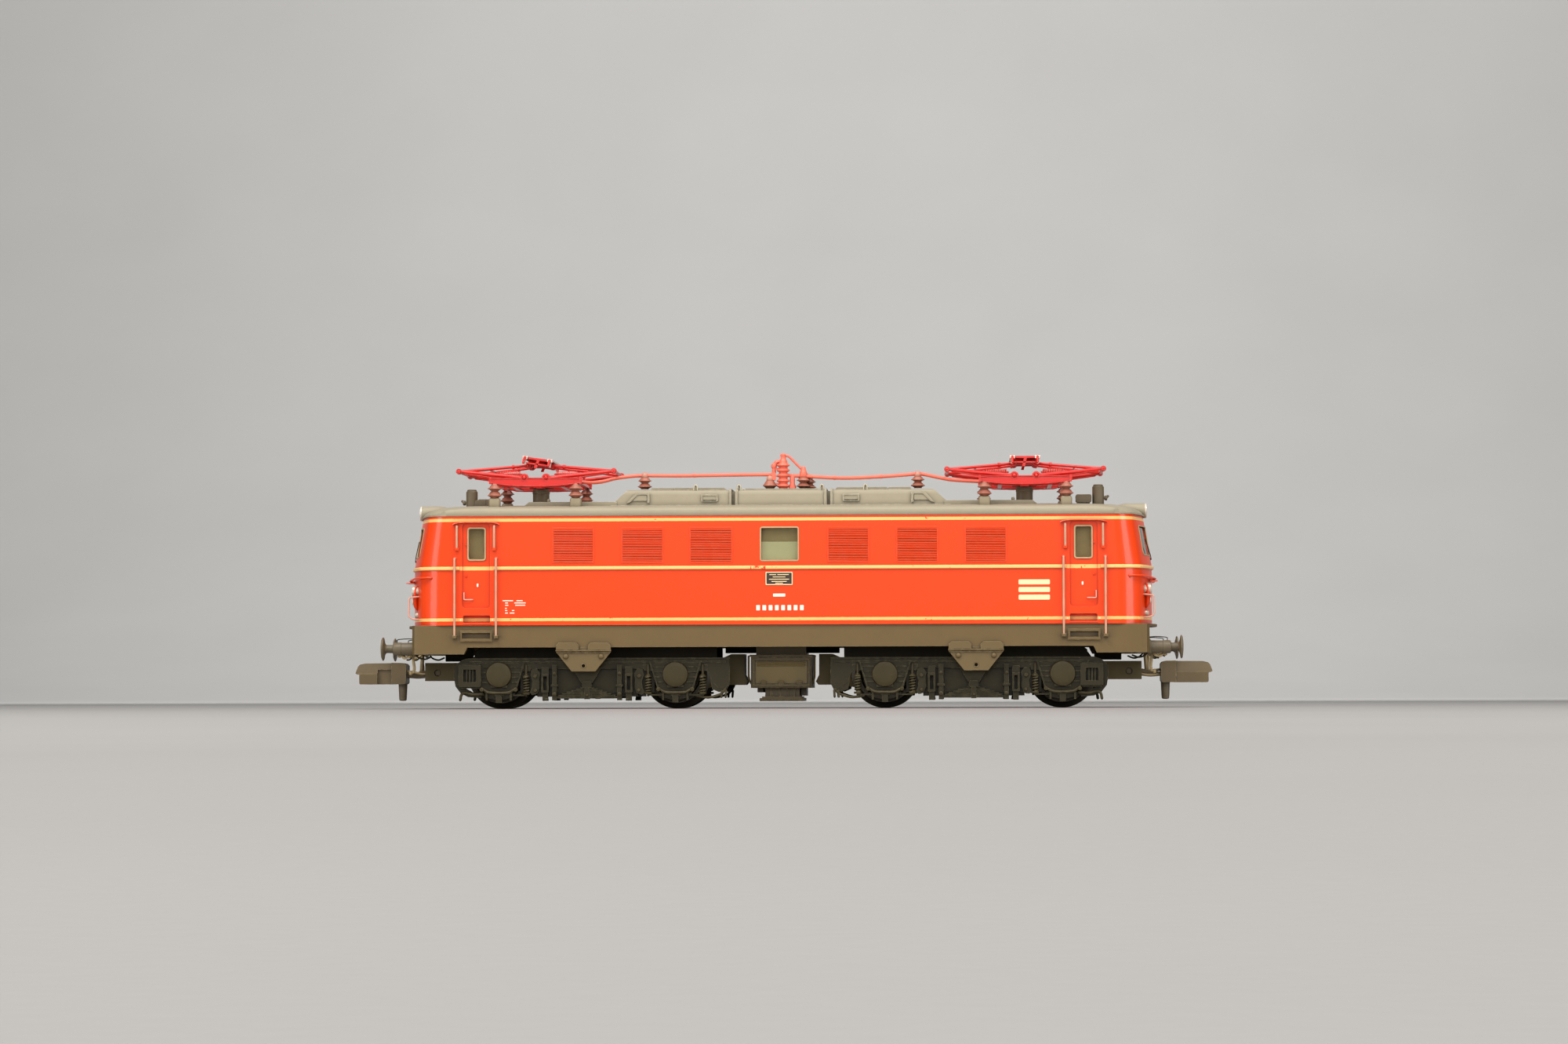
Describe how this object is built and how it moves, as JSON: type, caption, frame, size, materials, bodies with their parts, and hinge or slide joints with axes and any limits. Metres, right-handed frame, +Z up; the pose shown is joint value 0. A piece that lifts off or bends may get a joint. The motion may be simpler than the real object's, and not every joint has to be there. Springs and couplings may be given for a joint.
{
  "type": "model electric locomotive",
  "caption": "Box-bodied model electric locomotive with sprung-look bogies, diamond pantographs, roof line gear and hook couplings, on narrow model track wheels.",
  "frame": {"origin": "on the track centre line at rail-top height, halfway between the buffer faces", "axes": "+X along the locomotive toward the number 2 cab, +Z up, -Y toward the side whose left end is the number 1 cab"},
  "size_m": [0.1032, 0.0204, 0.0305],
  "materials": {
    "armature_copper": "laminations with lacquered winding",
    "bearing_bronze": "sintered bronze",
    "board_green": "solder mask",
    "body_red": "semi-gloss orange-red paint on plastic",
    "bogie_olive": "matt dark olive",
    "brush_carbon": "sintered carbon",
    "buffer_grey": "matt",
    "busbar_coral": "semi-gloss moulding",
    "can_steel": "drawn and plated",
    "cast_metal": "rough zinc casting",
    "coupler_beige": "matt",
    "flywheel_brass": "turned",
    "gear_white": "moulded acetal",
    "hose_cream": "matt",
    "insulator_brown": "satin",
    "interior_grey": "matt",
    "lens_white": "lamp moulding",
    "panto_red": "gloss paint on metal",
    "pickup_bronze": "spring strip",
    "roof_grey": "matt grey-beige",
    "screw_steel": "turned",
    "shaft_steel": "ground",
    "skirt_olive": "matt olive brown",
    "spring_red": "painted wire",
    "wheel_steel": "blackened turned wheel",
    "window_clear": "clear moulding",
    "wire_pale": "pale painted wire",
    "worm_black": "moulded acetal"
  },
  "bodies": {
    "loco_frame": {"body_shell": "body_red", "roof_panel": "roof_grey", "underframe_skirt": "skirt_olive", "skirt_brackets": "skirt_olive", "chassis_block": "cast_metal", "chassis_screws": "screw_steel", "circuit_board": "board_green", "motor_case": "can_steel", "motor_brushes": "brush_carbon", "shaft_bearings": "bearing_bronze", "side_windows": "window_clear", "windscreens": "window_clear", "lamps": "lens_white", "handrails": "wire_pale", "buffers": "buffer_grey", "brake_hoses": "hose_cream", "equipment_box": "skirt_olive", "cab_interiors": "interior_grey", "roof_insulators": "insulator_brown", "roof_fittings": "roof_grey", "busbar_breaker": "busbar_coral", "panto_bases": "panto_red", "panto_springs": "spring_red"},
    "rotor": {"rotor_shaft": "shaft_steel", "armature": "armature_copper", "flywheels": "flywheel_brass", "worms": "worm_black"},
    "bogie_a": {"bogie_gearbox_a": "bogie_olive", "bogie_frame_a": "bogie_olive", "pickup_strips_a": "pickup_bronze"},
    "final_gear_a": {"worm_wheel_a": "gear_white"},
    "idler_gear_a1": {"idler_a1": "gear_white"},
    "wheelset_a1": {"wheels_a1": "wheel_steel", "axle_gear_a1": "gear_white"},
    "idler_gear_a2": {"idler_a2": "gear_white"},
    "wheelset_a2": {"wheels_a2": "wheel_steel", "axle_gear_a2": "gear_white"},
    "coupler_a": {"coupler_a": "coupler_beige"},
    "lower_arm_a1": {"lower_arm_a1": "panto_red"},
    "lower_arm_a2": {"lower_arm_a2": "panto_red"},
    "upper_arm_a1": {"upper_arm_a1": "panto_red"},
    "upper_arm_a2": {"upper_arm_a2": "panto_red"},
    "panto_head_a": {"panto_head_a": "panto_red"},
    "bogie_b": {"bogie_gearbox_b": "bogie_olive", "bogie_frame_b": "bogie_olive", "pickup_strips_b": "pickup_bronze"},
    "final_gear_b": {"worm_wheel_b": "gear_white"},
    "idler_gear_b1": {"idler_b1": "gear_white"},
    "wheelset_b1": {"wheels_b1": "wheel_steel", "axle_gear_b1": "gear_white"},
    "idler_gear_b2": {"idler_b2": "gear_white"},
    "wheelset_b2": {"wheels_b2": "wheel_steel", "axle_gear_b2": "gear_white"},
    "coupler_b": {"coupler_b": "coupler_beige"},
    "lower_arm_b1": {"lower_arm_b1": "panto_red"},
    "lower_arm_b2": {"lower_arm_b2": "panto_red"},
    "upper_arm_b1": {"upper_arm_b1": "panto_red"},
    "upper_arm_b2": {"upper_arm_b2": "panto_red"},
    "panto_head_b": {"panto_head_b": "panto_red"}
  },
  "joints": [
    {"name": "rotor_spin", "type": "hinge", "parent": "loco_frame", "child": "rotor", "pos_m": [0, 0, 0.013], "axis": [1, 0, 0], "continuous": true},
    {"name": "bogie_a_swivel", "type": "hinge", "parent": "loco_frame", "child": "bogie_a", "pos_m": [-0.02297, 0, 0.0096], "axis": [0, 0, 1], "range_deg": [-7, 7]},
    {"name": "worm_wheel_a_spin", "type": "hinge", "parent": "bogie_a", "child": "final_gear_a", "pos_m": [-0.02297, 0, 0.0075], "axis": [0, 1, 0], "continuous": true},
    {"name": "idler_a1_spin", "type": "hinge", "parent": "bogie_a", "child": "idler_gear_a1", "pos_m": [-0.0285, 0, 0.00418], "axis": [0, 1, 0], "continuous": true},
    {"name": "wheelset_a1_spin", "type": "hinge", "parent": "bogie_a", "child": "wheelset_a1", "pos_m": [-0.0335, 0, 0.00345], "axis": [0, 1, 0], "continuous": true},
    {"name": "idler_a2_spin", "type": "hinge", "parent": "bogie_a", "child": "idler_gear_a2", "pos_m": [-0.01745, 0, 0.00418], "axis": [0, 1, 0], "continuous": true},
    {"name": "wheelset_a2_spin", "type": "hinge", "parent": "bogie_a", "child": "wheelset_a2", "pos_m": [-0.01245, 0, 0.00345], "axis": [0, 1, 0], "continuous": true},
    {"name": "coupler_a_lift", "type": "hinge", "parent": "bogie_a", "child": "coupler_a", "pos_m": [-0.04158, 0, 0.00375], "axis": [0, 1, 0], "range_deg": [0, 5]},
    {"name": "panto_a_raise", "type": "hinge", "parent": "loco_frame", "child": "lower_arm_a1", "pos_m": [-0.0305, 0, 0.02696], "axis": [0, 1, 0], "range_deg": [0, 48]},
    {"name": "panto_a_lower2", "type": "hinge", "parent": "loco_frame", "child": "lower_arm_a2", "pos_m": [-0.0279, 0, 0.02696], "axis": [0, 1, 0], "range_deg": [-48, 0]},
    {"name": "panto_a_knee1", "type": "hinge", "parent": "lower_arm_a1", "child": "upper_arm_a1", "pos_m": [-0.0385, 0, 0.0278], "axis": [0, 1, 0], "range_deg": [-96, 0]},
    {"name": "panto_a_knee2", "type": "hinge", "parent": "lower_arm_a2", "child": "upper_arm_a2", "pos_m": [-0.0199, 0, 0.0278], "axis": [0, 1, 0], "range_deg": [0, 96]},
    {"name": "panto_a_head_level", "type": "hinge", "parent": "upper_arm_a1", "child": "panto_head_a", "pos_m": [-0.0305, 0, 0.02864], "axis": [0, 1, 0], "range_deg": [0, 48]},
    {"name": "bogie_b_swivel", "type": "hinge", "parent": "loco_frame", "child": "bogie_b", "pos_m": [0.02297, 0, 0.0096], "axis": [0, 0, 1], "range_deg": [-7, 7]},
    {"name": "worm_wheel_b_spin", "type": "hinge", "parent": "bogie_b", "child": "final_gear_b", "pos_m": [0.02297, 0, 0.0075], "axis": [0, 1, 0], "continuous": true},
    {"name": "idler_b1_spin", "type": "hinge", "parent": "bogie_b", "child": "idler_gear_b1", "pos_m": [0.01745, 0, 0.00418], "axis": [0, 1, 0], "continuous": true},
    {"name": "wheelset_b1_spin", "type": "hinge", "parent": "bogie_b", "child": "wheelset_b1", "pos_m": [0.01245, 0, 0.00345], "axis": [0, 1, 0], "continuous": true},
    {"name": "idler_b2_spin", "type": "hinge", "parent": "bogie_b", "child": "idler_gear_b2", "pos_m": [0.0285, 0, 0.00418], "axis": [0, 1, 0], "continuous": true},
    {"name": "wheelset_b2_spin", "type": "hinge", "parent": "bogie_b", "child": "wheelset_b2", "pos_m": [0.0335, 0, 0.00345], "axis": [0, 1, 0], "continuous": true},
    {"name": "coupler_b_lift", "type": "hinge", "parent": "bogie_b", "child": "coupler_b", "pos_m": [0.04158, 0, 0.00375], "axis": [0, -1, 0], "range_deg": [0, 5]},
    {"name": "panto_b_raise", "type": "hinge", "parent": "loco_frame", "child": "lower_arm_b1", "pos_m": [0.0279, 0, 0.02696], "axis": [0, 1, 0], "range_deg": [0, 48]},
    {"name": "panto_b_lower2", "type": "hinge", "parent": "loco_frame", "child": "lower_arm_b2", "pos_m": [0.0305, 0, 0.02696], "axis": [0, 1, 0], "range_deg": [-48, 0]},
    {"name": "panto_b_knee1", "type": "hinge", "parent": "lower_arm_b1", "child": "upper_arm_b1", "pos_m": [0.0199, 0, 0.0278], "axis": [0, 1, 0], "range_deg": [-96, 0]},
    {"name": "panto_b_knee2", "type": "hinge", "parent": "lower_arm_b2", "child": "upper_arm_b2", "pos_m": [0.0385, 0, 0.0278], "axis": [0, 1, 0], "range_deg": [0, 96]},
    {"name": "panto_b_head_level", "type": "hinge", "parent": "upper_arm_b1", "child": "panto_head_b", "pos_m": [0.0279, 0, 0.02864], "axis": [0, 1, 0], "range_deg": [0, 48]}
  ],
  "couplings": [
    {"joint": "worm_wheel_a_spin", "follows": "rotor_spin", "ratio": -0.05},
    {"joint": "idler_a1_spin", "follows": "rotor_spin", "ratio": 0.083333},
    {"joint": "wheelset_a1_spin", "follows": "rotor_spin", "ratio": -0.076923},
    {"joint": "idler_a2_spin", "follows": "rotor_spin", "ratio": 0.083333},
    {"joint": "wheelset_a2_spin", "follows": "rotor_spin", "ratio": -0.076923},
    {"joint": "panto_a_lower2", "follows": "panto_a_raise", "ratio": -1},
    {"joint": "panto_a_knee1", "follows": "panto_a_raise", "ratio": -2},
    {"joint": "panto_a_knee2", "follows": "panto_a_raise", "ratio": 2},
    {"joint": "panto_a_head_level", "follows": "panto_a_raise", "ratio": 1},
    {"joint": "worm_wheel_b_spin", "follows": "rotor_spin", "ratio": -0.05},
    {"joint": "idler_b1_spin", "follows": "rotor_spin", "ratio": 0.083333},
    {"joint": "wheelset_b1_spin", "follows": "rotor_spin", "ratio": -0.076923},
    {"joint": "idler_b2_spin", "follows": "rotor_spin", "ratio": 0.083333},
    {"joint": "wheelset_b2_spin", "follows": "rotor_spin", "ratio": -0.076923},
    {"joint": "panto_b_lower2", "follows": "panto_b_raise", "ratio": -1},
    {"joint": "panto_b_knee1", "follows": "panto_b_raise", "ratio": -2},
    {"joint": "panto_b_knee2", "follows": "panto_b_raise", "ratio": 2},
    {"joint": "panto_b_head_level", "follows": "panto_b_raise", "ratio": 1}
  ]
}
